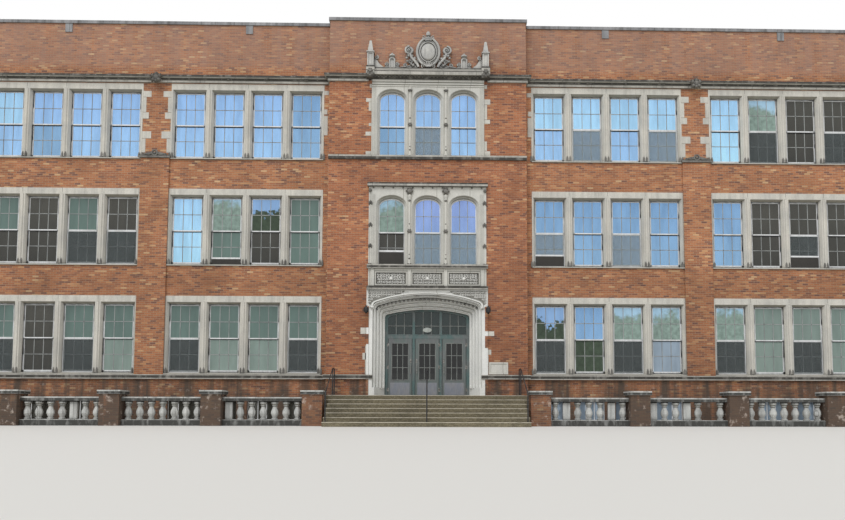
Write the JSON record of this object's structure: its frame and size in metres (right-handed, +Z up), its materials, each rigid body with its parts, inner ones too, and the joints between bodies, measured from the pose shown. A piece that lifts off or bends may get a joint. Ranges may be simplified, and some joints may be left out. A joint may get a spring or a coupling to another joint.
{
  "type": "school building",
  "caption": "Brick school building with limestone trim, a stone entrance centrepiece, banks of sash windows, a flat roof behind a parapet, front steps and a balustrade.",
  "frame": {"origin": "on the centre line of the entrance pavilion, in the plane of the wings' front wall, at the ground at the foot of the front steps", "axes": "+Z up, the front faces -Y, +X to the right as seen from the front"},
  "size_m": [35.96, 20.08, 15.225],
  "materials": {
    "brick": "mottled orange-brown facing brick in running bond, matte",
    "limestone": "cream-grey dressed limestone with dark weathering",
    "concrete": "brown aggregate concrete",
    "roofing": "flat dark membrane",
    "window_glass": "clear glass that reflects the sky",
    "door_glass": "dark clear glass",
    "sash_paint": "pale grey painted sash",
    "frame_paint": "weathered teal paint",
    "door_paint": "weathered grey paint",
    "hardware": "dark worn metal",
    "rail_paint": "black painted pipe",
    "lamp_metal": "black lantern"
  },
  "bodies": {
    "building": {"back_wall": "brick", "balusters": "limestone", "balustrade_piers": "brick", "balustrade_rails": "limestone", "coping": "limestone", "cornice": "limestone", "crest": "limestone", "door_frame": "frame_paint", "door_hinges": "hardware", "entrance_steps": "concrete", "entrance_surround": "limestone", "first_floor": "concrete", "front_wall_left": "brick", "front_wall_right": "brick", "glass_front": "window_glass", "glass_rear": "window_glass", "handrails": "rail_paint", "left_wall": "brick", "lower_triple_frame": "limestone", "pavilion_coping": "limestone", "pavilion_wall_left": "brick", "pavilion_wall_right": "brick", "pavilion_wall_upper": "brick", "pier_caps": "limestone", "pilaster_caps": "limestone", "pilasters": "brick", "right_wall": "brick", "roof_deck": "roofing", "sashes_front": "sash_paint", "sashes_rear": "sash_paint", "second_floor": "concrete", "stone_frames_front": "limestone", "stone_frames_rear": "limestone", "string_courses": "limestone", "third_floor": "concrete", "upper_triple_frame": "limestone", "wall_lamps": "lamp_metal", "window_cornices": "limestone"},
    "door_left": {"door_leaf_left": "door_paint", "door_glass_left": "door_glass", "door_hardware_left": "hardware"},
    "door_centre": {"door_leaf_centre": "door_paint", "door_glass_centre": "door_glass", "door_hardware_centre": "hardware"},
    "door_right": {"door_leaf_right": "door_paint", "door_glass_right": "door_glass", "door_hardware_right": "hardware"}
  },
  "joints": [
    {"name": "door_left_hinge", "type": "hinge", "parent": "building", "child": "door_left", "pos_m": [-1.451, 0.318, 2.1368], "axis": [0, 0, -1], "range_deg": [0, 90]},
    {"name": "door_centre_hinge", "type": "hinge", "parent": "building", "child": "door_centre", "pos_m": [0.451, 0.318, 2.1368], "axis": [0, 0, 1], "range_deg": [0, 90]},
    {"name": "door_right_hinge", "type": "hinge", "parent": "building", "child": "door_right", "pos_m": [1.451, 0.318, 2.1368], "axis": [0, 0, 1], "range_deg": [0, 90]}
  ]
}
